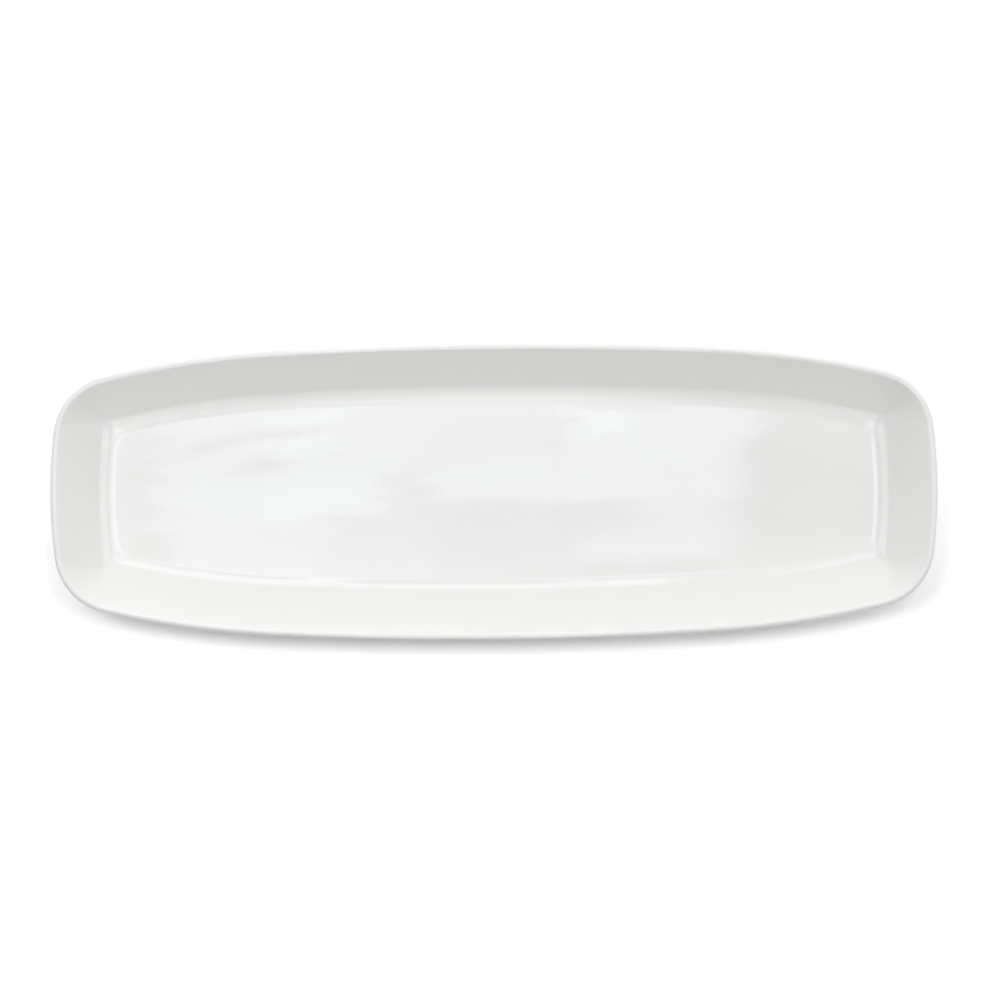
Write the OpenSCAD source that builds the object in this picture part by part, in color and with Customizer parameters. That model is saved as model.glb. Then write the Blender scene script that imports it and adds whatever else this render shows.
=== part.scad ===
// Long porcelain platter: a one-piece fired body under two coats of glaze.
// The rim is a barrel rectangle of tangent arcs, and one wall section is swept round all of them.
// Millimetres, +Z up. The origin is in the middle of the face that the foot ring stands on.

/* [Outline] */
// Length over the rim
plate_l = 380; // [340:1:420]
// Width over the rim
plate_w = 127; // [115:1:145]
// Angle that half of an end arc turns through
end_turn = 7.1; // [5:0.1:9]
// Angle that half of a long side's middle arc turns through
side_turn = 2.9; // [2.2:0.1:3.6]
// Angle that a shoulder, the arc between a long side's middle and a corner, turns through
shoulder_turn = 10.5; // [8:0.1:13]
// Radius of the shoulders
shoulder_r = 407; // [350:1:460]
// Radius of the corners of the floor
floor_corner_r = 2.3; // [0.8:0.1:6]

/* [Wall] */
// Height of the rim above the surface that the platter stands on
rim_h = 27; // [23:0.5:34]
// Radius of the rounded lip, half the wall's thickness there
lip_r = 1.6; // [1.2:0.1:2.2]
// Slope of the inner wall above the level
wall_slope = 47; // [40:1:58]
// How much steeper the outer wall is, so that the wall thickens towards the foot
wall_taper = 3; // [1:0.5:5]
// Radius of the cove between the inner wall and the floor
cove_r = 9.5; // [7:0.5:15]
// Thickness of the floor, glaze included
floor_t = 4.6; // [3.5:0.1:6]

/* [Foot ring] */
// Height of the foot ring, which is the depth of the recess inside it
foot_h = 2.2; // [1.5:0.1:3.5]
// Width of the foot ring
foot_w = 3.6; // [2.6:0.1:5]
// Chamfer on the foot ring's lower edges
foot_edge = 0.5; // [0.2:0.1:0.9]
// Flat ledge between the heel and the foot ring
foot_ledge = 0.5; // [0.3:0.1:2]
// Radius of the heel, where the outer wall turns under
heel_r = 3; // [1.5:0.1:5]

/* [Glaze] */
// Thickness of the glaze
glaze_t = 0.4; // [0.2:0.05:0.6]

/* [Hidden] */

// Steps along each round of the section, and along each arc of the floor's outline
lip_steps = 12;
cove_steps = 6;
heel_steps = 4;
floor_steps = 16;

// Heights and slopes of the section
floor_z = foot_h + floor_t;
outer_slope = wall_slope + wall_taper;

// Centres of the section's rounds and edges of the foot ring.
// In the section, x runs outwards from the rim's edge, so all of it lies at x of 0 or less.
lip_c = [-lip_r, rim_h - lip_r];
inner_top = lip_c + lip_r * [cos(90 + wall_slope), sin(90 + wall_slope)];
outer_top = lip_c + lip_r * [cos(outer_slope - 90), sin(outer_slope - 90)];
wall_foot_x = inner_top[0] - (inner_top[1] - floor_z) / tan(wall_slope);
cove_c = [wall_foot_x - cove_r * tan(wall_slope / 2), floor_z + cove_r];
heel_foot_x = outer_top[0] - (outer_top[1] - foot_h) / tan(outer_slope);
heel_c = [heel_foot_x - heel_r * tan(outer_slope / 2), foot_h + heel_r];
foot_out_x = heel_c[0] - foot_ledge;
foot_in_x = foot_out_x - foot_w;

// The swept section stops a little inside its last round, where the flat floor laps over it
lap = floor_corner_r / 2;
section_run = max(-cove_c[0], -foot_in_x);
section_end = -section_run - lap;

// Radii of the rim's arcs: the ends and the long sides take up what length and width leave
corner_r = floor_corner_r + section_run;
shoulder_from = 90 - side_turn - shoulder_turn;
side_from = 90 - side_turn;
left_l = plate_l / 2 - corner_r * (cos(end_turn) - cos(shoulder_from))
    - shoulder_r * (cos(shoulder_from) - cos(side_from));
left_w = plate_w / 2 - corner_r * (sin(shoulder_from) - sin(end_turn))
    - shoulder_r * (sin(side_from) - sin(shoulder_from));
end_rise = 1 - cos(end_turn);
side_rise = 1 - sin(side_from);
arc_det = sin(end_turn) * cos(side_from) - end_rise * side_rise;
end_r = (left_w * cos(side_from) - left_l * side_rise) / arc_det;
side_r = (left_l * sin(end_turn) - left_w * end_rise) / arc_det;

// One quarter of the rim from the end to the long side: each arc's radius, first and last angle
quarter = [
    [end_r, 0, end_turn],
    [corner_r, end_turn, shoulder_from],
    [shoulder_r, shoulder_from, side_from],
    [side_r, side_from, 90]
];

function ray(angle) = [cos(angle), sin(angle)];

function arc(centre, r, from, to, steps) =
    [for (i = [0 : steps]) centre + r * ray(from + (to - from) * i / steps)];

function reverse(path) = [for (i = [len(path) - 1 : -1 : 0]) path[i]];

// Each arc's centre lies on the line that it shares with the arc before
function arc_centre(i) =
    i == 0
    ? [plate_l / 2 - end_r, 0]
    : arc_centre(i - 1) + (quarter[i - 1][0] - quarter[i][0]) * ray(quarter[i][1]);

// The surface from the floor over the lip to the foot ring, sunk by a depth under the glaze
function skin(depth) = concat(
    [[section_end, floor_z - depth]],
    arc(cove_c, cove_r + depth, -90, wall_slope - 90, cove_steps),
    arc(lip_c, lip_r - depth, 90 + wall_slope, outer_slope - 90, lip_steps),
    arc(heel_c, heel_r - depth, outer_slope - 90, -90, heel_steps),
    [[foot_out_x, foot_h + depth]]
);

// Outline of the flat floor, half a lap inside the swept section
floor_inset = section_run + lap / 2;
floor_quarter = [
    for (i = [0 : len(quarter) - 1], k = [0.5 : floor_steps])
        let (turn = quarter[i][2] - quarter[i][1])
        arc_centre(i) + (quarter[i][0] - floor_inset) * ray(quarter[i][1] + turn * k / floor_steps)
];
floor_outline = concat(
    floor_quarter,
    [for (p = reverse(floor_quarter)) [-p[0], p[1]]],
    [for (p = floor_quarter) [-p[0], -p[1]]],
    [for (p = reverse(floor_quarter)) [p[0], -p[1]]]
);

// Moves in three steps, coarse to fine, so that a long move keeps its last digits
module shift(move) {
    coarse = [for (v = move) round(v)];
    fine = [for (v = move) round((v - round(v)) * 1000) / 1000];
    translate(coarse)
        translate(fine)
            translate(move - coarse - fine)
                children();
}

// Sweeps a section round the whole rim, quarter by quarter
module sweep_rim() {
    for (x = [0, 1], y = [0, 1], i = [0 : len(quarter) - 1])
        mirror([x, 0, 0])
            mirror([0, y, 0])
                shift([arc_centre(i)[0], arc_centre(i)[1], 0])
                    rotate_extrude(angle = quarter[i][2] - quarter[i][1], start = quarter[i][1], $fn = 720)
                        shift([quarter[i][0], 0])
                            children();
}

// Fills the middle that the sweep leaves open, between two heights
module fill_floor(z_low, z_high) {
    translate([0, 0, z_low])
        linear_extrude(z_high - z_low)
            polygon(floor_outline);
}

// Fired clay: floor, wall, lip and the foot ring with its bare standing face
module porcelain_body() {
    foot = [
        [foot_out_x, foot_edge],
        [foot_out_x - foot_edge, 0],
        [foot_in_x + foot_edge, 0],
        [foot_in_x, foot_edge],
        [foot_in_x, foot_h + glaze_t],
        [section_end, foot_h + glaze_t]
    ];
    color("ivory") {
        sweep_rim()
            polygon(concat(skin(glaze_t), foot));
        fill_floor(foot_h + glaze_t, floor_z - glaze_t);
    }
}

// Glass coat over the well, the lip and the outside, down to the foot ring
module outer_glaze() {
    color("white") {
        sweep_rim()
            polygon(concat(skin(0), reverse(skin(glaze_t))));
        fill_floor(floor_z - glaze_t, floor_z);
    }
}

// Glass coat inside the foot ring
module base_glaze() {
    color("white") {
        sweep_rim()
            translate([section_end, foot_h])
                square([foot_in_x - section_end, glaze_t]);
        fill_floor(foot_h, foot_h + glaze_t);
    }
}

porcelain_body();
outer_glaze();
base_glaze();
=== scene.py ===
# %% [markdown]
# A long porcelain platter
#
# This lesson models an asparagus plate: one piece of fired clay under a thin coat of glass.
# It could be carved from a box, or one wall section could be swept round the rim. On the real plate
# the corners inside differ from the rim's, so the lesson draws level lines and lofts a skin over them.
# The construction model comes first, because it fixes the size and place of everything.

# %% Load the frame
from collections import namedtuple
from math import atan2, cos, degrees, hypot, pi, radians, sin, sqrt, tan

import bmesh
import bpy
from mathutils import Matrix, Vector


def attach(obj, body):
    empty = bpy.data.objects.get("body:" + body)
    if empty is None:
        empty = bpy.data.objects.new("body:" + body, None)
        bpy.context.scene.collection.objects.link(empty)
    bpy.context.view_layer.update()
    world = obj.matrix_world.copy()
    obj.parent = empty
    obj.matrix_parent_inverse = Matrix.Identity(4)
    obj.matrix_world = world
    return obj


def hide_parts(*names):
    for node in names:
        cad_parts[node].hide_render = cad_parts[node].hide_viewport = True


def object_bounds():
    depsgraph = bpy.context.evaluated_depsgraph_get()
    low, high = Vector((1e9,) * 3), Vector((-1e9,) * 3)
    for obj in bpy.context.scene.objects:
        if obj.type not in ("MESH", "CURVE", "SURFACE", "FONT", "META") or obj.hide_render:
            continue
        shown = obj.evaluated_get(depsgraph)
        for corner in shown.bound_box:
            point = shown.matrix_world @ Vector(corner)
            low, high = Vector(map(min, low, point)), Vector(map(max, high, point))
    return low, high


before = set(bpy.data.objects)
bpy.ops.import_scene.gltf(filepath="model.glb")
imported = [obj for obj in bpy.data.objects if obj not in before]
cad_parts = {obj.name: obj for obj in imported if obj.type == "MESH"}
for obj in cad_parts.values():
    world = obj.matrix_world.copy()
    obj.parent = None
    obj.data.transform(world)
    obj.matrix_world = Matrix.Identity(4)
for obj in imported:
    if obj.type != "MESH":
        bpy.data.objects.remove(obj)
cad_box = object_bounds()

print("nodes in the frame:", sorted(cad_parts))

# %% [markdown]
# Sizes
#
# A potter works in millimetres, and Blender in metres, so sizes are written in millimetres here and
# MM turns them into metres where a tool needs them. Length, width and height are read from the
# frame. The rest describe the wall: how it leans, its rounds, and the foot ring under it. Slopes and
# turns are in degrees.

# %% Measure the frame and set the wall's sizes
MM = 0.001
low, high = cad_box
plate_l = (high.x - low.x) / MM
plate_w = (high.y - low.y) / MM
rim_h = high.z / MM

lip_r = 1.6
wall_slope = 47
outer_slope = 50
cove_r = 9.5
heel_r = 3
floor_t = 4.6
foot_h = 2.2
foot_w = 3.6
foot_edge = 0.5
foot_ledge = 0.5
glaze_t = 0.4

floor_z = foot_h + floor_t
print(f"platter {plate_l:.1f} x {plate_w:.1f} x {rim_h:.1f} mm, floor at {floor_z:.1f} mm")

# %% [markdown]
# The section
#
# Cut the platter across and its wall shows as a leaning strip with three rounds: the lip on top, the
# cove inside and the heel underneath. Each round's place follows from the straight stretches that it
# joins. In this drawing x runs outwards from the rim's edge, so the whole wall lies at x of 0 or less,
# and z runs up from the table.

# %% Find the places of the section's rounds
def ray(angle):
    """Unit vector at an angle in degrees, counter-clockwise from the first axis."""
    return Vector((cos(radians(angle)), sin(radians(angle))))


lip_c = Vector((-lip_r, rim_h - lip_r))
inner_top = lip_c + lip_r * ray(90 + wall_slope)
outer_top = lip_c + lip_r * ray(outer_slope - 90)
wall_foot_x = inner_top.x - (inner_top.y - floor_z) / tan(radians(wall_slope))
floor_x = wall_foot_x - cove_r * tan(radians(wall_slope / 2))
heel_foot_x = outer_top.x - (outer_top.y - foot_h) / tan(radians(outer_slope))
heel_c = Vector((heel_foot_x - heel_r * tan(radians(outer_slope / 2)), foot_h + heel_r))
foot_out_x = heel_c.x - foot_ledge
foot_in_x = foot_out_x - foot_w
print(f"the wall takes up {-floor_x:.1f} mm of the platter, seen from above")

# %% [markdown]
# The cove
#
# The cove carries the wall down into the floor. One arc would do, but where a straight wall meets an
# arc, a glossy surface shows a line. On the plate the wall eases into its cove over a few millimetres,
# so the cove is two arcs that touch: a tight one on the floor and a wide one up to the wall. The wide
# one is chosen. The tight one's radius follows, because the flat floor has to end where it would with
# a single arc.

# %% Fit the two arcs of the cove
ease_r = 24
ease_turn = 14

tight_turn = wall_slope - ease_turn
ease_reach = ease_r * tan(radians(ease_turn / 2))
ease_share = sin(radians(ease_turn)) / sin(radians(wall_slope))
cove_reach = wall_foot_x - floor_x
tight_r = (cove_reach - ease_reach * ease_share) / (tan(radians(tight_turn / 2)) * (1 + ease_share))
tight_c = Vector((floor_x, floor_z + tight_r))
ease_c = tight_c + (tight_r - ease_r) * ray(tight_turn - 90)
print(f"cove radius {tight_r:.1f} mm on the floor, then {ease_r} mm up to the wall")

# %% [markdown]
# The rim's arcs
#
# Seen from above, the rim is a barrel: gently bowed ends and sides, with tighter shoulders and
# corners. Arcs that touch without a kink share a line through both centres, so a quarter of the rim
# is four arcs and each centre follows from the one before. The corner's radius is just over the width
# of the wall, so that a line parallel to the rim still turns its corner inside the wall. Length and
# width then leave two equations, for the radii of the end and the side.

# %% Work out one quarter of the rim
end_turn = 7.1
shoulder_turn = 10.5
side_turn = 2.9
shoulder_r = 407
corner_spare = 2.3

corner_r = corner_spare - floor_x
side_from = 90 - side_turn
shoulder_from = side_from - shoulder_turn
left_over = (
    Vector((plate_l / 2, plate_w / 2))
    - corner_r * Vector((cos(radians(end_turn)) - cos(radians(shoulder_from)),
                         sin(radians(shoulder_from)) - sin(radians(end_turn))))
    - shoulder_r * Vector((cos(radians(shoulder_from)) - cos(radians(side_from)),
                           sin(radians(side_from)) - sin(radians(shoulder_from))))
)
end_rise = 1 - cos(radians(end_turn))
side_rise = 1 - sin(radians(side_from))
end_reach = sin(radians(end_turn))
side_reach = cos(radians(side_from))
arc_det = end_reach * side_reach - end_rise * side_rise
end_r = (left_over.y * side_reach - left_over.x * side_rise) / arc_det
side_r = (left_over.x * end_reach - left_over.y * end_rise) / arc_det

end_c = Vector((plate_l / 2 - end_r, 0))
corner_c = end_c + (end_r - corner_r) * ray(end_turn)
shoulder_c = corner_c + (corner_r - shoulder_r) * ray(shoulder_from)
side_c = shoulder_c + (shoulder_r - side_r) * ray(side_from)
print("rim radii in mm:", [round(r, 1) for r in (end_r, corner_r, shoulder_r, side_r)])

# %% [markdown]
# Level lines
#
# Slice the platter level and each skin shows as one closed line, like a small copy of the rim. Along
# the sides and ends such lines run parallel to the rim, but not at the corners: there the wall comes
# down to an almost sharp corner, and the cove then opens into a wide round one on the floor. So every
# level line has a corner radius of its own. Its corner arc has to touch the arcs on both sides, and
# two circles that cross give its centre. The rim's own line is printed: its arcs should turn as above.

# %% Work out a level line
Level = namedtuple("Level", "x z corner")


def heading(arm):
    """Direction of a vector in degrees."""
    return degrees(atan2(arm.y, arm.x))


def level_arcs(line):
    """The four arcs of a quarter of a level line: each one's centre and how far it turns."""
    to_end = end_r + line.x - line.corner
    to_shoulder = shoulder_r + line.x - line.corner
    apart = shoulder_c - end_c
    ahead = apart.normalized()
    along = (to_end**2 - to_shoulder**2 + apart.length_squared) / (2 * apart.length)
    aside = sqrt(to_end**2 - along**2)
    centre = end_c + along * ahead + aside * Vector((-ahead.y, ahead.x))
    first = heading(centre - end_c)
    last = heading(centre - shoulder_c)
    turns = (first, last - first, side_from - last, side_turn)
    return list(zip((end_c, centre, shoulder_c, side_c), turns))


rim_turns = [turn for _, turn in level_arcs(Level(0, rim_h, corner_r))]
print("the rim's arcs turn by", [round(turn, 2) for turn in rim_turns], "degrees")

# %% [markdown]
# Stacks of lines
#
# A straight stretch of wall needs few lines and a round needs many. These helpers list the lines of a
# stretch or a round, parallel to the rim. The well has its own list, because its corners change: they
# are the rim's own at the lip, tight at the foot of the wall and wide on the floor. It can be drawn at
# a depth, for the clay under the glass. Its first line lies a little inside the cove, on the flat.

# %% List the lines of the well and of the rounds
wall_corner = 2.5
floor_corner = 9
floor_lap = 0.6
middle_x = floor_x - floor_lap


def parallel(place):
    """The line through a place of the section that follows the rim all round."""
    return Level(place[0], place[1], corner_r + place[0])


def straight(first, last, steps):
    """Lines evenly spaced between two lines, with the last but without the first."""
    shares = [k / steps for k in range(1, steps + 1)]
    return [Level(*(a + (b - a) * share for a, b in zip(first, last))) for share in shares]


def around(centre, radius, first, last, steps):
    """Lines on a round from one angle to another."""
    angles = [first + (last - first) * k / steps for k in range(steps + 1)]
    return [parallel(centre + radius * ray(angle)) for angle in angles]


def well(depth, cove_steps, wall_steps):
    """Lines from the floor through the cove and up the wall to the lip."""
    lines = [Level(middle_x, floor_z - depth, floor_corner - floor_lap)]
    for k in range(cove_steps + 1):
        share = k / cove_steps
        turned = wall_slope * share
        centre, radius = (ease_c, ease_r) if turned > tight_turn else (tight_c, tight_r)
        place = centre + (radius + depth) * ray(turned - 90)
        tighter = (floor_corner - wall_corner) * share**2 * (3 - 2 * share)
        lines.append(Level(place.x, place.y, floor_corner - tighter + depth * sin(radians(turned))))
    lip_foot = parallel(lip_c + (lip_r - depth) * ray(90 + wall_slope))
    return lines + straight(lines[-1], lip_foot, wall_steps)


print(f"corner radii: rim {corner_r:.1f}, foot of the wall {wall_corner}, floor {floor_corner} mm")

# %% [markdown]
# Lofting
#
# By hand, a line starts as one vertex, and the Spin tool turns it about each centre in turn. Bridge
# Edge Loops then lays faces between one line and the next, and the Mirror modifier makes the other
# three quarters. A sweep would be shorter, but it has the same section everywhere.

# %% Define the loft
arc_steps = (8, 20, 16, 24)
seam_weld = 0.005


def draw_level(line):
    """Draws a quarter of a level line from the +X end to the long side."""
    bpy.ops.mesh.primitive_plane_add(size=MM)
    bpy.ops.mesh.merge(type="CENTER")
    bpy.ops.transform.translate(value=((plate_l / 2 + line.x) * MM, 0, line.z * MM))
    for (centre, turn), steps in zip(level_arcs(line), arc_steps):
        bpy.ops.mesh.spin(
            steps=steps,
            angle=radians(turn),
            center=(centre.x * MM, centre.y * MM, 0),
            axis=(0, 0, -1),
        )


def loft(name, lines):
    """Bridges each level line to the next and mirrors the quarter into a whole."""
    bpy.ops.object.select_all(action="DESELECT")
    bpy.ops.mesh.primitive_plane_add(size=MM)
    piece = bpy.context.object
    piece.name = name
    piece.data.name = name
    bpy.ops.object.mode_set(mode="EDIT")
    bpy.ops.mesh.select_mode(type="VERT")
    bpy.ops.mesh.select_all(action="SELECT")
    bpy.ops.mesh.delete(type="VERT")
    mesh = bmesh.from_edit_mesh(piece.data)
    rows = []
    for line in lines:
        before = set(mesh.edges)
        draw_level(line)
        rows.append([e for e in mesh.edges if e not in before])
    for row, next_row in zip(rows, rows[1:]):
        bpy.ops.mesh.select_all(action="DESELECT")
        for e in row + next_row:
            e.select_set(True)
        bpy.ops.mesh.bridge_edge_loops()
    bpy.ops.object.mode_set(mode="OBJECT")
    mirror = piece.modifiers.new("other three quarters", "MIRROR")
    mirror.use_axis = (True, True, False)
    mirror.merge_threshold = seam_weld * MM
    bpy.ops.object.modifier_apply(modifier=mirror.name)
    return piece


# %% [markdown]
# Closing the middle
#
# The loft leaves the middle open, like a rim without a plate. A single many-sided face would close
# it, but light sliding over a glossy face of that kind shows its hidden triangles. Where the floor
# shows, Grid Fill lays rows of four-sided faces instead. It needs to know where the corners are, so
# the middle of one corner arc is made the active vertex.

# %% Define the fills
level_slack = 0.01


def edit(piece):
    """Opens one piece in edit mode with nothing selected, and returns its mesh."""
    bpy.ops.object.select_all(action="DESELECT")
    bpy.context.view_layer.objects.active = piece
    piece.select_set(True)
    bpy.ops.object.mode_set(mode="EDIT")
    bpy.ops.mesh.select_mode(type="VERT")
    bpy.ops.mesh.select_all(action="DESELECT")
    return bmesh.from_edit_mesh(piece.data)


def select_opening(mesh, line):
    """Selects the open edges along a level line, and returns their vertices."""
    edges = [e for e in mesh.edges
             if e.is_boundary and all(abs(v.co.z - line.z * MM) < level_slack * MM for v in e.verts)]
    for e in edges:
        e.select_set(True)
    return {v for e in edges for v in e.verts}


def close_with_face(piece, line):
    """Closes an opening that stays hidden with one many-sided face."""
    select_opening(edit(piece), line)
    bpy.ops.mesh.edge_face_add()
    bpy.ops.object.mode_set(mode="OBJECT")


def close_with_grid(piece, line):
    """Closes an opening that shows with rows of four-sided faces."""
    mesh = edit(piece)
    opening = select_opening(mesh, line)
    (_, first), (centre, turn) = level_arcs(line)[:2]
    middle = (centre + line.corner * ray(first + turn / 2)) * MM
    mesh.select_history.clear()
    mesh.select_history.add(min(opening, key=lambda v: (v.co.xy - middle).length))
    end_rows = 2 * arc_steps[0] + arc_steps[1]
    bpy.ops.mesh.fill_grid(span=end_rows, offset=0)
    bpy.ops.object.mode_set(mode="OBJECT")


# %% [markdown]
# Smoothing
#
# Spin and Mirror leave some faces turned inwards, so every closed piece has its normals recalculated.
# Its rounds are then shaded smooth. Real edges, such as the one where the glass ends, are sharper than
# the angle given here and stay sharp. A piece without open edges is closed, and its volume is true.

# %% Define the finish of a piece
smooth_below = 40


def finish_piece(piece):
    """Turns all faces outwards, shades the rounds smooth and prints what was made."""
    edit(piece)
    bpy.ops.mesh.select_all(action="SELECT")
    bpy.ops.mesh.normals_make_consistent(inside=False)
    bpy.ops.object.mode_set(mode="OBJECT")
    bpy.ops.object.shade_smooth_by_angle(angle=radians(smooth_below))
    mesh = bmesh.new()
    mesh.from_mesh(piece.data)
    open_edges = sum(not e.is_manifold for e in mesh.edges)
    volume = mesh.calc_volume() / (10 * MM)**3
    mesh.free()
    print(f"{piece.name}: {len(piece.data.polygons)} faces, {open_edges} open edges, {volume:.1f} cm3")


# %% [markdown]
# The outer coat of glaze
#
# The dipped coat runs over the well, the lip and the outside, and stops at the foot ring, which was
# wiped clean for the kiln. Solidify could give a skin its thickness, but at the wiped edge the glass
# forms a little fillet against the foot, so both skins are drawn as one stack of lines. The inner skin
# lies on the clay, out of sight, and takes fewer lines.

# %% Loft the outer coat
creep_r = 0.4
clay_under = foot_h + glaze_t

outer_skin = well(0, cove_steps=14, wall_steps=5)
outer_skin += around(lip_c, lip_r, 90 + wall_slope, outer_slope - 90, steps=24)[1:]
heel = around(heel_c, heel_r, outer_slope - 90, -90, steps=8)
outer_skin += straight(outer_skin[-1], heel[0], steps=5) + heel[1:]
creep = around(Vector((foot_out_x + creep_r, foot_h - creep_r)), creep_r, 90, 180, steps=4)

clay_skin = well(glaze_t, cove_steps=5, wall_steps=1)
clay_skin += around(lip_c, lip_r - glaze_t, 90 + wall_slope, outer_slope - 90, steps=6)[1:]
clay_skin += around(heel_c, heel_r - glaze_t, outer_slope - 90, -90, steps=3)
clay_skin += [parallel((foot_out_x, clay_under))]

glaze_coat_outer = loft("glaze_coat_outer", outer_skin + creep + clay_skin[::-1])
close_with_grid(glaze_coat_outer, outer_skin[0])
close_with_face(glaze_coat_outer, clay_skin[0])
finish_piece(glaze_coat_outer)

# %% [markdown]
# The fired clay
#
# Under the glass is the clay body, and only its foot ring shows. It follows the same lines as the
# coat's inner skin, so the two lie against each other with nothing between them, and then goes round
# the foot ring.

# %% Loft the clay body
foot_outside = Vector((foot_out_x - foot_edge, foot_edge))
foot_inside = Vector((foot_in_x + foot_edge, foot_edge))
foot = around(foot_outside, foot_edge, 0, -90, steps=5)
foot += straight(foot[-1], parallel((foot_inside.x, 0)), steps=4)
foot += around(foot_inside, foot_edge, -90, -180, steps=5)[1:]
foot += straight(foot[-1], parallel((foot_in_x, clay_under)), steps=2)
clay_middle = parallel((middle_x, clay_under))

fired_clay_body = loft("fired_clay_body", clay_skin + foot + [clay_middle])
close_with_face(fired_clay_body, clay_skin[0])
close_with_face(fired_clay_body, clay_middle)
finish_piece(fired_clay_body)

# %% [markdown]
# The glaze inside the foot ring
#
# The foot ring cuts the dipped glass in two, so the shallow recess under the floor has a coat of its
# own. It is a flat sheet with a fillet where the glass climbed the ring's inner side.

# %% Loft the base coat
climb_r = 0.8
base_middle = parallel((middle_x, foot_h))
climb = around(Vector((foot_in_x - climb_r, foot_h - climb_r)), climb_r, 90, 0, steps=6)
base_top = [parallel((foot_in_x, clay_under)), clay_middle]

glaze_coat_base = loft("glaze_coat_base", [base_middle] + climb + base_top)
close_with_grid(glaze_coat_base, base_middle)
close_with_face(glaze_coat_base, clay_middle)
finish_piece(glaze_coat_base)

# %% [markdown]
# Shader maths
#
# A material is a web of nodes. Long webs read better as formulas, so the class below wraps a socket:
# a sum or product written with it adds a Math node. Every other node comes from its node method,
# which takes the node's kind, its settings, and the values or wires of its sockets.

# %% Define the wire class
class Wire:
    """One output socket of a material's nodes, which can be used in sums."""

    def __init__(self, tree, socket=None):
        self.tree = tree
        self.socket = socket

    def node(self, kind, settings=None, sockets=None, out=0):
        made = self.tree.nodes.new("ShaderNode" + kind)
        for name, value in (settings or {}).items():
            setattr(made, name, value)
        for name, value in (sockets or {}).items():
            if isinstance(value, Wire):
                self.tree.links.new(value.socket, made.inputs[name])
            else:
                made.inputs[name].default_value = value
        return Wire(self.tree, made.outputs[out])

    def math(self, operation, first, second=0.0):
        return self.node("Math", {"operation": operation}, {0: first, 1: second})

    def __add__(self, other):
        return self.math("ADD", self, other)

    def __radd__(self, other):
        return self.math("ADD", other, self)

    def __sub__(self, other):
        return self.math("SUBTRACT", self, other)

    def __rsub__(self, other):
        return self.math("SUBTRACT", other, self)

    def __mul__(self, other):
        return self.math("MULTIPLY", self, other)

    def __rmul__(self, other):
        return self.math("MULTIPLY", other, self)


# %% [markdown]
# Small tools for finishes
#
# All the finishes follow the place on the piece, so no map has to be unwrapped. They share a few
# tools: a soft step between two places, a cloudy noise, and a blend of two colours by a mask. A Mix
# node has sockets for numbers, vectors and colours, and its sockets for colours are found by number.

# %% Define the tools for finishes
def new_material(name):
    """A new material, a wire to start its nodes from, and its surface socket."""
    material = bpy.data.materials.new(name)
    material.use_nodes = True
    material.node_tree.nodes.clear()
    output = material.node_tree.nodes.new("ShaderNodeOutputMaterial")
    return material, Wire(material.node_tree), output.inputs["Surface"]


def plug(wire, socket):
    """Links a wire to a socket that is already there."""
    wire.tree.links.new(wire.socket, socket)


def coordinate(place, axis):
    """One of the three numbers of a place."""
    return place.node("SeparateXYZ", sockets={"Vector": place}, out=axis)


def between(wire, first, last):
    """0 at and before first, 1 at and after last, with soft ends."""
    return wire.node("MapRange", {"interpolation_type": "SMOOTHSTEP"},
                     {"Value": wire, "From Min": first, "From Max": last})


def noise(place, per_m, detail):
    """Cloudy values from 0 to 1, with about so many clouds to the metre."""
    return place.node("TexNoise", sockets={"Vector": place, "Scale": per_m, "Detail": detail})


def stretched(place, per_m):
    """A place to look up a noise at, with its own count to the metre along each axis."""
    return place.node("Mapping", sockets={"Vector": place, "Scale": per_m})


mix_under = 6
mix_over = 7
mix_colour = 2


def blend(mask, under, over):
    """One colour where the mask is 0 and another where it is 1."""
    colours = {"Factor": mask, mix_under: under, mix_over: over}
    return mask.node("Mix", {"data_type": "RGBA"}, colours, out=mix_colour)


def shade_of(colour, share):
    """A colour with its red, green and blue each times a share, as sockets take it."""
    return tuple(c * k for c, k in zip(colour, share)) + (1,)


# %% [markdown]
# The glaze
#
# Fired glass is never quite level. It settles in long low swells, and mirrors of the lamps bend a
# little along them. The swells are a few thousandths of a millimetre high, far too low to model, so
# they are a Bump, stretched along the platter. Finer waves give a trace of orange peel, and here and
# there an iron grain has left a grey speck. Where the glass pools, in the cove, it looks a little
# cooler. Heights are in millimetres, and a speck's sizes are shares of the spacing of the grains.

# %% Make the glaze
glaze_white = (0.865, 0.865, 0.85)
dull_share = (0.985, 0.985, 0.985)
cool_share = (0.98, 0.985, 0.985)
iron_share = (0.80, 0.80, 0.80)

swells_per_m = (14, 40, 40)
swell_height = 0.012
peel_per_m = 420
peel_height = 0.0003
grains_per_m = 34
speck_core = 0.006
speck_edge = 0.012
clouds_per_m = 18
pool_full = 1.5
pool_fades = (2, 8)
gloss_rough = 0.028
cloud_rough = 0.012
glass_ior = 1.5


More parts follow.
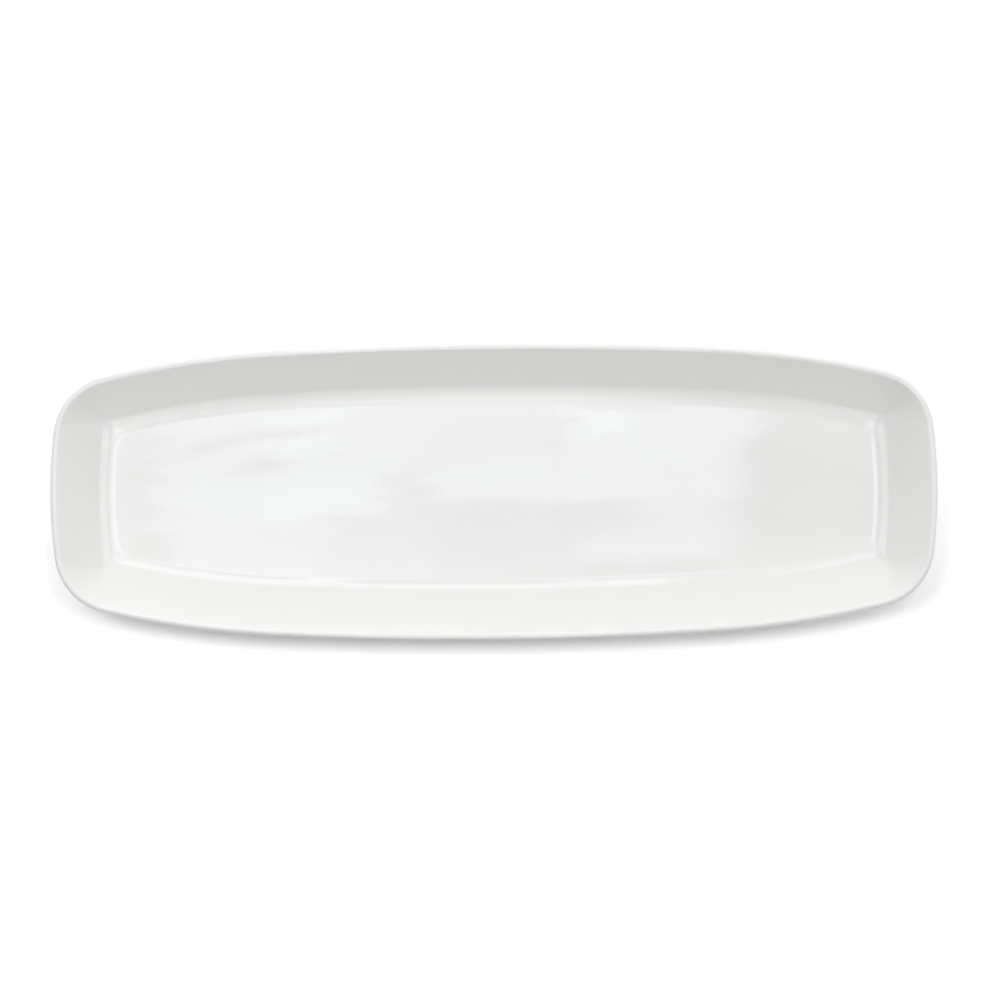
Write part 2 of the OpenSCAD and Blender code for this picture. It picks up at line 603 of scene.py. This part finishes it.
def glaze_finish(name, colour):
    """Clear gloss over white clay, with swells, a few specks and cooler glass in the cove."""
    material, start, surface = new_material(name)
    place = start.node("TexCoord", out="Object")
    height = coordinate(place, "Z")

    swells = noise(stretched(place, swells_per_m), 1, detail=2)
    peel = noise(place, peel_per_m, detail=1)
    relief = swells * swell_height + peel * peel_height
    normal = relief.node("Bump", sockets={"Height": relief, "Distance": MM, "Strength": 1.0})

    grains = place.node("TexVoronoi", sockets={"Vector": place, "Scale": grains_per_m, "Randomness": 1.0})
    speck = 1 - between(grains, speck_core, speck_edge)
    cloud = noise(place, clouds_per_m, detail=3)
    fade_from, fade_to = [(floor_z + above) * MM for above in pool_fades]
    pooled = between(height, floor_z * MM, (floor_z + pool_full) * MM)
    pooled = pooled * (1 - between(height, fade_from, fade_to))

    tint = blend(cloud, (*colour, 1), shade_of(colour, dull_share))
    tint = blend(pooled, tint, shade_of(colour, cool_share))
    tint = blend(speck, tint, shade_of(colour, iron_share))
    rough = gloss_rough + cloud * cloud_rough
    shader = place.node("BsdfPrincipled", sockets={
        "Base Color": tint, "Roughness": rough, "IOR": glass_ior, "Normal": normal})
    plug(shader, surface)
    return material


platter_glaze = glaze_finish("platter_glaze", glaze_white)
glaze_coat_outer.data.materials.append(platter_glaze)
glaze_coat_base.data.materials.append(platter_glaze)
print("glaze nodes:", len(platter_glaze.node_tree.nodes))

# %% [markdown]
# The bare foot
#
# The wiped foot is unglazed porcelain: matte, faintly warm and slightly gritty. Where it has slid over
# tables it is a little greyed, in blotches that stay close to the standing face. Grit could be
# modelled, but at a few hundredths of a millimetre a Bump shows it as well.

# %% Make the bare clay
clay_white = (0.86, 0.84, 0.80)
sandy_share = (0.97, 0.94, 0.89)
grey_share = (0.83, 0.82, 0.80)

grit_per_m = 2600
grit_height = 0.06
blotches_per_m = 55
worn_height = 0.35
worn_blotches = (0.4, 0.65)
worn_strength = 0.6
clay_rough = 0.62
grit_rough = 0.25


def bare_clay_finish(name, colour):
    """Matte clay with sandy clouds, fine grit and grey wear on the standing face."""
    material, start, surface = new_material(name)
    place = start.node("TexCoord", out="Object")
    height = coordinate(place, "Z")
    grit = noise(place, grit_per_m, detail=3)
    blotch = noise(place, blotches_per_m, detail=4)
    worn = (1 - between(height, 0.0, worn_height * MM)) * between(blotch, *worn_blotches)
    tint = blend(blotch, (*colour, 1), shade_of(colour, sandy_share))
    tint = blend(worn * worn_strength, tint, shade_of(colour, grey_share))
    normal = grit.node("Bump", sockets={"Height": grit, "Distance": grit_height * MM, "Strength": 1.0})
    shader = place.node("BsdfPrincipled", sockets={
        "Base Color": tint, "Roughness": clay_rough + grit * grit_rough, "Normal": normal})
    plug(shader, surface)
    return material


bare_clay = bare_clay_finish("bare_clay", clay_white)
fired_clay_body.data.materials.append(bare_clay)
print("bare clay nodes:", len(bare_clay.node_tree.nodes))

# %% [markdown]
# Joining the pieces to the frame
#
# The three meshes stand for the three solids of the construction model. Nothing moves, so all ride
# on the one body.

# %% Hand the pieces to the frame
for piece, node, slot in [
    (glaze_coat_outer, "outer_glaze", "glaze"),
    (glaze_coat_base, "base_glaze", "glaze"),
    (fired_clay_body, "porcelain_body", "biscuit"),
]:
    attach(piece, "root")
    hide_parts(node)

# %% [markdown]
# The table
#
# The platter stands on a plain white sheet. A photographer exposes for the platter and lets the sheet
# burn out to pure white. So where the camera or a reflection looks at it, the sheet is taken as a
# little brighter than paper. It lights the platter as plain paper does, and it keeps the shadow. Away
# from the platter, where the lamps do not reach, it is seen as an even white, which gives no light.
# From here on, sizes are in metres.

# %% Lay the white sheet
white = (1, 1, 1, 1)
paper_white = (0.95, 0.95, 0.95, 1)
burnt_white = (1.35, 1.35, 1.35, 1)
sheet_side = 6.0
lit_to = 0.25
even_from = 0.5


def seen_directly(start, otherwise, seen):
    """The second shader for camera, mirror and glass rays, and the first for all light that falls."""
    camera = start.node("LightPath", out="Is Camera Ray")
    mirrored = start.node("LightPath", out="Is Glossy Ray")
    through = start.node("LightPath", out="Is Transmission Ray")
    mask = start.math("MINIMUM", camera + mirrored + through, 1.0)
    return start.node("MixShader", sockets={0: mask, 1: otherwise, 2: seen})


def white_sheet_finish(name):
    """Paper to the light, and to the eye a burnt-out white that keeps the shadow near the platter."""
    material, start, surface = new_material(name)
    place = start.node("TexCoord", out="Object")
    away = place.node("VectorMath", {"operation": "LENGTH"}, {0: place}, out="Value")
    paper = start.node("BsdfDiffuse", sockets={"Color": paper_white})
    burnt_out = start.node("BsdfDiffuse", sockets={"Color": burnt_white})
    plain = start.node("Emission", sockets={"Color": white, "Strength": 1.0})
    seen = start.node("MixShader", sockets={0: between(away, lit_to, even_from), 1: burnt_out, 2: plain})
    plug(seen_directly(start, paper, seen), surface)
    material.cycles.emission_sampling = "NONE"
    return material


bpy.ops.object.select_all(action="DESELECT")
bpy.ops.mesh.primitive_plane_add(size=sheet_side, location=(0, 0, 0))
table_sheet = bpy.context.object
table_sheet.name = "table_sheet"
table_sheet.data.materials.append(white_sheet_finish("white_sheet"))
print("table sheet:", sheet_side, "m square")

# %% [markdown]
# The studio
#
# The light comes from above and a little behind, so the near wall is bright, the far wall is in
# half-shade and the shadow is a narrow line along the near side. A lamp that only lights is left out
# of reflections, as if it hung behind a scrim, and a card that only shows in them gives no light.
# An overhead panel is given by its edges, left and right, then near and far. Any other panel is given
# by its centre and size, and faces the platter. The last number is the brightness of the panel, where
# 1 is the white of the sheet.

# %% Set up the lamps
rim_distance = 1.2
camera_z = rim_distance + rim_h * MM


def panel(name, centre, size, brightness, aim=(0, 0, 0), lights=True, mirrored=True):
    """A rectangular soft lamp that faces a point. Watts follow from its area and brightness."""
    lamp = bpy.data.lights.new(name, "AREA")
    lamp.shape = "RECTANGLE"
    lamp.size = size[0]
    lamp.size_y = size[1]
    lamp.energy = brightness * pi * size[0] * size[1]
    holder = bpy.data.objects.new(name, lamp)
    bpy.context.scene.collection.objects.link(holder)
    holder.location = centre
    holder.rotation_euler = (Vector(aim) - Vector(centre)).to_track_quat("-Z", "Y").to_euler()
    holder.visible_camera = False
    holder.visible_diffuse = lights
    holder.visible_glossy = mirrored
    return holder


def overhead(name, x_edges, y_edges, brightness, lights=True, mirrored=True):
    """A level panel at the camera's height."""
    x = sum(x_edges) / 2
    y = sum(y_edges) / 2
    size = (x_edges[1] - x_edges[0], y_edges[1] - y_edges[0])
    return panel(name, (x, y, camera_z), size, brightness, (x, y, 0), lights, mirrored)


lamps = [
    overhead("lamp_back_left", (-0.42, -0.154), (0.075, 0.45), 8.8, mirrored=False),
    overhead("lamp_back_right", (0.068, 0.42), (0.075, 0.45), 7.1, mirrored=False),
    overhead("lamp_far_left", (-0.95, -0.42), (-0.05, 0.45), 6.4, mirrored=False),
    overhead("lamp_far_right", (0.42, 0.95), (-0.05, 0.45), 3.5, mirrored=False),
    overhead("lamp_front_above", (-0.3, 0.3), (-0.6, -0.1), 1.0, mirrored=False),
    panel("lamp_behind", (-0.05, 1.15, 0.75), (0.75, 0.9), 0.9, mirrored=False),
    panel("lamp_behind_low", (0, 1.4, 0.3), (2.2, 0.5), 2.4, mirrored=False),
    panel("lamp_front", (0, -1.35, 0.42), (0.9, 0.6), 0.75, mirrored=False),
    panel("lamp_low_right", (1.3, -0.1, 0.85), (0.9, 0.6), 1.7),
    panel("card_low_left", (-1.3, -0.1, 0.85), (0.9, 0.6), 1.8, lights=False),
    panel("card_window", (-0.045, 0.895, 0.943), (0.33, 0.77), 2.2, lights=False),
]
print("lamps:", {lamp.name: round(lamp.data.energy, 2) for lamp in lamps})

# %% [markdown]
# Painting a panel
#
# A lamp can have nodes too, and the place on the lamp tells them how bright to be. A pattern is made
# of bands along and across: each is 1 between two places and falls to 0 over a soft edge.

# %% Define how a panel is painted
def band(wire, first, last, soft):
    """1 between two places and 0 outside, with soft ends."""
    return between(wire, first, first + soft) * (1 - between(wire, last - soft, last))


def start_paint(lamp):
    """Clears a panel's nodes and returns the place on the panel."""
    lamp.use_nodes = True
    lamp.node_tree.nodes.clear()
    return Wire(lamp.node_tree).node("NewGeometry", out="Position")


def paint(brightness, colour):
    """Gives a panel a pattern in place of an even brightness."""
    shader = brightness.node("Emission", sockets={"Color": colour, "Strength": brightness})
    output = brightness.tree.nodes.new("ShaderNodeOutputLight")
    plug(shader, output.inputs["Surface"])


# %% [markdown]
# The bank's left part
#
# From above, a glossy floor is a mirror: a spot of it shows what hangs level with the camera, twice as
# far from the middle. In the photograph that is a ragged bank of light to the left and right of the
# camera, which stands dark in between. The left part ends in a straight edge with three tongues. It
# grows brighter towards the middle, and three narrow dark gaps cross it.

# %% Draw the left part
def left_cover(x, y):
    """1 where the left part hangs."""
    wing = (1 - between(x, -0.106, -0.092)) * band(y, -0.018, 0.030, 0.003)
    ledge = (1 - between(x, -0.138, -0.128)) * band(y, 0.036, 0.058, 0.004)
    tip = (1 - between(x, -0.128, -0.118)) * between(y, 0.066, 0.069)
    return x.math("MAXIMUM", 1 - between(x, -0.160, -0.152), wing + ledge + tip)


def left_light(x, y):
    """Brightness of the left part."""
    slit = band(y - x * 0.116, 0.071, 0.083, 0.003) * band(x, -0.29, -0.14, 0.03)
    lens = band(y, 0.019, 0.035, 0.005) * band(x, -0.25, -0.16, 0.04)
    dark = band(y + x * 0.5, -0.230, -0.185, 0.008) * band(x, -0.345, -0.275, 0.02)
    light = 0.7 + 2.4 * between(x, -0.315, -0.265) + 0.5 * between(x, -0.22, -0.15)
    light = light * (1 - 0.7 * slit) * (1 - 0.65 * lens) * (1 - 0.9 * dark)
    return light * (0.65 + 0.35 * between(y, -0.06, 0))


# %% [markdown]
# The bank's right part
#
# On the right hang a bright panel at the back and three dimmer rows in front of it, which all fade out
# to the right. A faint glow goes on beyond them.

# %% Draw the right part
def right_light(x, y):
    """Brightness of the right part."""
    far = between(x, 0.058, 0.066) * between(y, 0.049, 0.052) * (3.9 - 1.5 * between(x, 0.115, 0.13))
    far = far * (1 - between(x, 0.215, 0.245))
    middle = between(x, 0.054, 0.064) * band(y, -0.006, 0.052, 0.003) * 2.8
    gap = 0.8 * between(x, 0.06, 0.075) + between(x, 0.102, 0.122)
    gap = gap * band(y, -0.033, -0.003, 0.003)
    near = between(x, 0.064, 0.070) * band(y, -0.060, -0.030, 0.003) * 1.8
    beyond = between(x, 0.20, 0.24) * band(y, -0.02, 0.08, 0.02) * 0.4
    return (middle + gap + near) * (1 - between(x, 0.185, 0.235)) + far + beyond


# %% [markdown]
# Between the two parts
#
# Between them is a haze that is brighter at the back, and a bright bar just behind the camera's place.
# The bar's far edge and the haze's brighter stretch lean by the same slant.

# %% Draw the middle
def middle_light(x, y, covered):
    """Brightness between the parts, left out where the left part covers it."""
    slant = y - x * 0.16
    bar = band(x, -0.066, 0.06, 0.012) * between(y, -0.006, -0.003) * (1 - between(slant, 0.028, 0.033))
    top = band(x, -0.17, 0.064, 0.010) * between(slant, 0.028, 0.035)
    haze = band(x, -0.17, 0.07, 0.010) * (1.4 - 0.5 * between(x, -0.07, -0.045))
    return (haze + 1.3 * top) * (1 - covered) * (1 - between(y, 0.08, 0.085)) + 2.0 * bar


# %% [markdown]
# Hanging the bank
#
# One panel carries the whole pattern. Its edges would be too straight, so a streaky noise pulls the
# places about before the bands are drawn. A strip at its right end is not pulled: it shows as the
# thin line of light in the cove at the right end of the platter.

# %% Hang the bank
streaks_per_m = (9, 120, 1)
streak_pull = 0.11
ripples_per_m = 14
ripple_pull = 0.014
daylight = (0.90, 1.0, 1.08, 1)


def paint_bank(lamp):
    """Paints the bank's three parts and its strip."""
    place = start_paint(lamp)
    x = coordinate(place, "X")
    y = coordinate(place, "Y")
    strip = between(x, 0.336, 0.339) * band(y, -0.065, 0.036, 0.012) * 2.0
    streaks = noise(stretched(place, streaks_per_m), 1, detail=2)
    ripple = noise(place, ripples_per_m, detail=1)
    x = x + (streaks - 0.5) * streak_pull
    y = y + (ripple - 0.5) * ripple_pull
    covered = left_cover(x, y)
    glow = covered * left_light(x, y) + middle_light(x, y, covered) + right_light(x, y)
    paint(glow * (0.6 + 0.8 * streaks) + strip, daylight)


lamp_bank = overhead("lamp_bank", (-0.37, 0.48), (-0.085, 0.6), 1.0, lights=False)
paint_bank(lamp_bank.data)
print("bank nodes:", len(lamp_bank.data.node_tree.nodes))

# %% [markdown]
# The card in front
#
# The far cove mirrors what stands in front of the platter. A card there starts dark at the table,
# grows brighter upwards and fades to the sides, so the cove shades softly into the wall.

# %% Stand the card in front
card_x = -0.02


def paint_card(lamp):
    """Paints a glow that rises from the table and fades at the top and to both sides."""
    place = start_paint(lamp)
    x = coordinate(place, "X")
    z = coordinate(place, "Z")
    aside = x.math("ABSOLUTE", x - card_x)
    glow = 0.1 + 2.4 * between(z, 0.0, 0.5) + 0.5 * between(z, 0.7, 0.85)
    glow = glow * (1 - 0.7 * between(z, 0.95, 1.25))
    paint(glow * (1 - between(aside, 0.05, 0.22)), white)


card_front = panel("card_front", (card_x, -0.65, 0.65), (0.7, 1.55), 1.0, lights=False)
paint_card(card_front.data)
print("card nodes:", len(card_front.data.node_tree.nodes))

# %% [markdown]
# The sky
#
# Behind everything is an even white: dim as a light, so that the lamps shape the platter, and plain
# white where it is seen.

# %% Set the world
dim_sky = 0.04

world = bpy.data.worlds.new("even_white")
world.use_nodes = True
world.node_tree.nodes.clear()
start = Wire(world.node_tree)
dim = start.node("Background", sockets={"Color": white, "Strength": dim_sky})
plain = start.node("Background", sockets={"Color": white, "Strength": 1.0})
output = world.node_tree.nodes.new("ShaderNodeOutputWorld")
plug(seen_directly(start, dim, plain), output.inputs["Surface"])
bpy.context.scene.world = world
bpy.context.scene.view_settings.view_transform = "Standard"
print("sky lights at", dim_sky, "and is seen as 1")

# %% [markdown]
# The camera
#
# The photograph looks straight down. The platter is a little off the middle of the picture and
# turned by half a degree, so the camera is moved and turned the other way. The platter's middle and
# the scale at its rim are given in the picture's pixels, and a lens is always given in millimetres.

# %% Place the camera
picture_px = 1000
px_per_mm = 2.3388
platter_px = (493.95, 491.2)
platter_turn = 0.51
film_w = 36

camera = bpy.data.cameras.new("camera_above")
camera.sensor_width = film_w
camera.lens = px_per_mm * (rim_distance / MM) * film_w / picture_px
holder = bpy.data.objects.new("camera_above", camera)
bpy.context.scene.collection.objects.link(holder)
turn = radians(platter_turn)
right = (picture_px / 2 - platter_px[0]) / px_per_mm * MM
up = (platter_px[1] - picture_px / 2) / px_per_mm * MM
holder.location = (right * cos(turn) + up * sin(turn), up * cos(turn) - right * sin(turn), camera_z)
holder.rotation_euler = (0, 0, -turn)
bpy.context.scene.camera = holder
print(f"camera {camera.lens:.1f} mm, {hypot(right, up) / MM:.1f} mm off the platter's middle")
